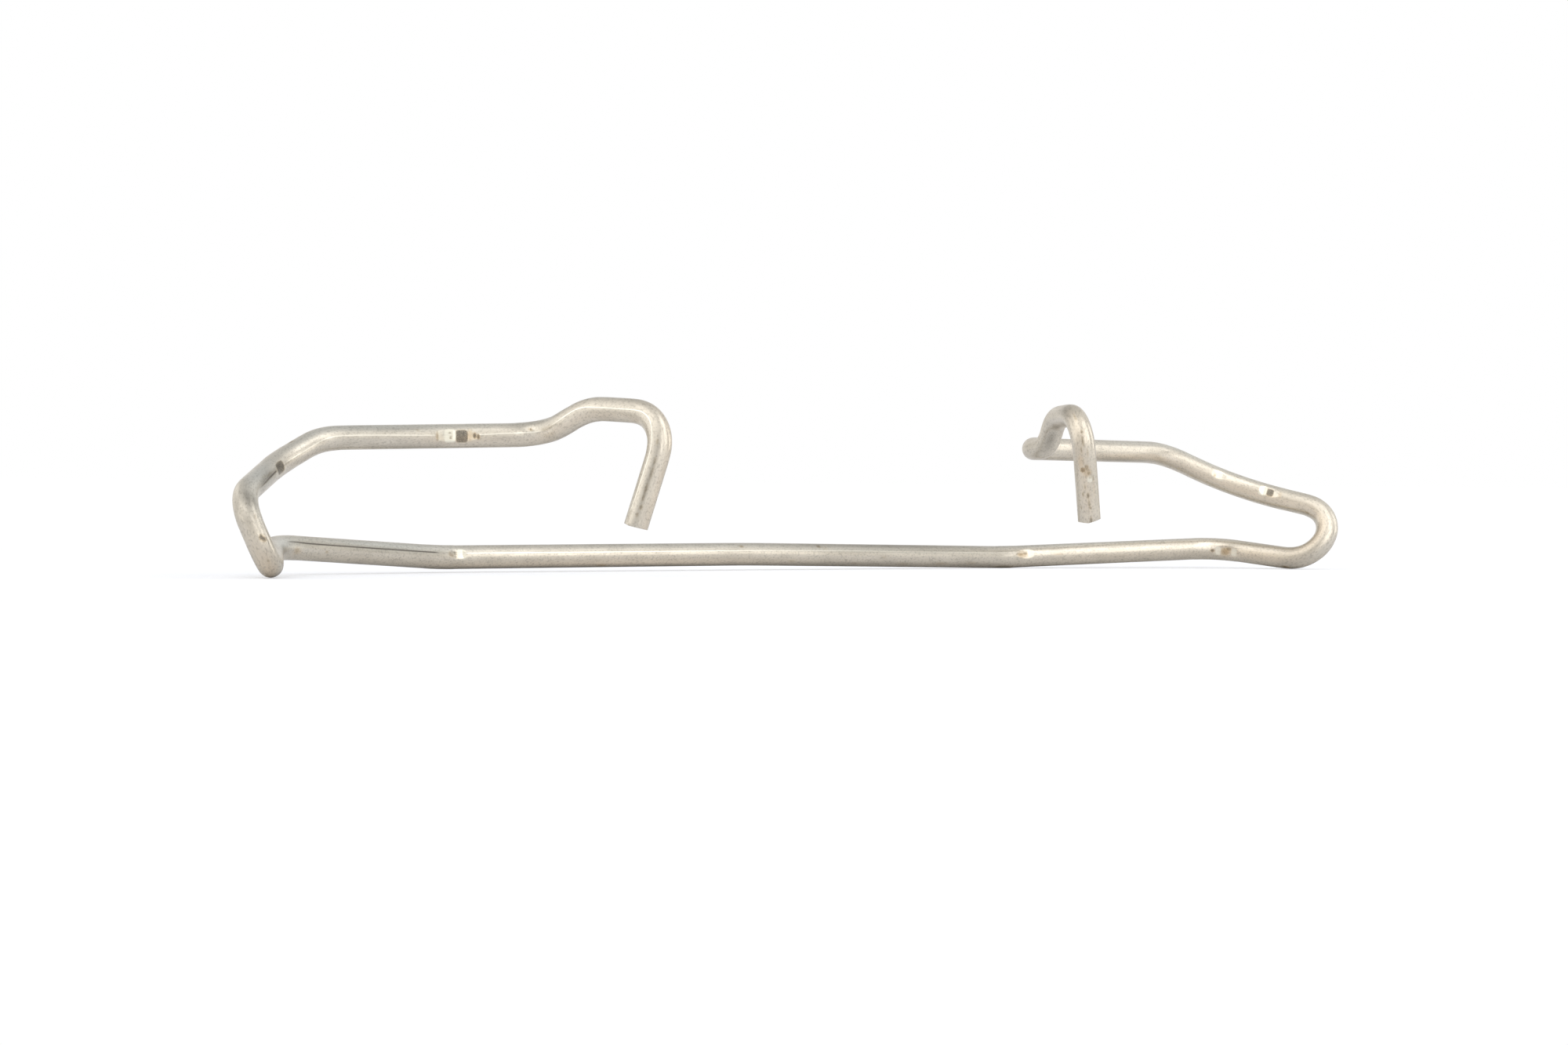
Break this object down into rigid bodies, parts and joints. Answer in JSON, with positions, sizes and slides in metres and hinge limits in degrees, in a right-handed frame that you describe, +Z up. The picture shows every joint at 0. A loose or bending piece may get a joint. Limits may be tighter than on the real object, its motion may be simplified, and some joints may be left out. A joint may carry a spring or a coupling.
{
  "type": "brake caliper spring",
  "caption": "Retaining spring bent from round wire: a long bar with splayed arms, folded-back end loops, and hooks that end in legs pointing down.",
  "frame": {"origin": "middle of the spring's outline seen from above, on the surface that it lies on", "axes": "+X along the bar to the right, +Y from the legs toward the bar, +Z up"},
  "size_m": [0.1718, 0.0329, 0.0223],
  "materials": {
    "spring_steel": "satin drawn wire, with light tool marks and a few stains"
  },
  "bodies": {
    "root": {"spring_wire": "spring_steel"}
  },
  "joints": []
}
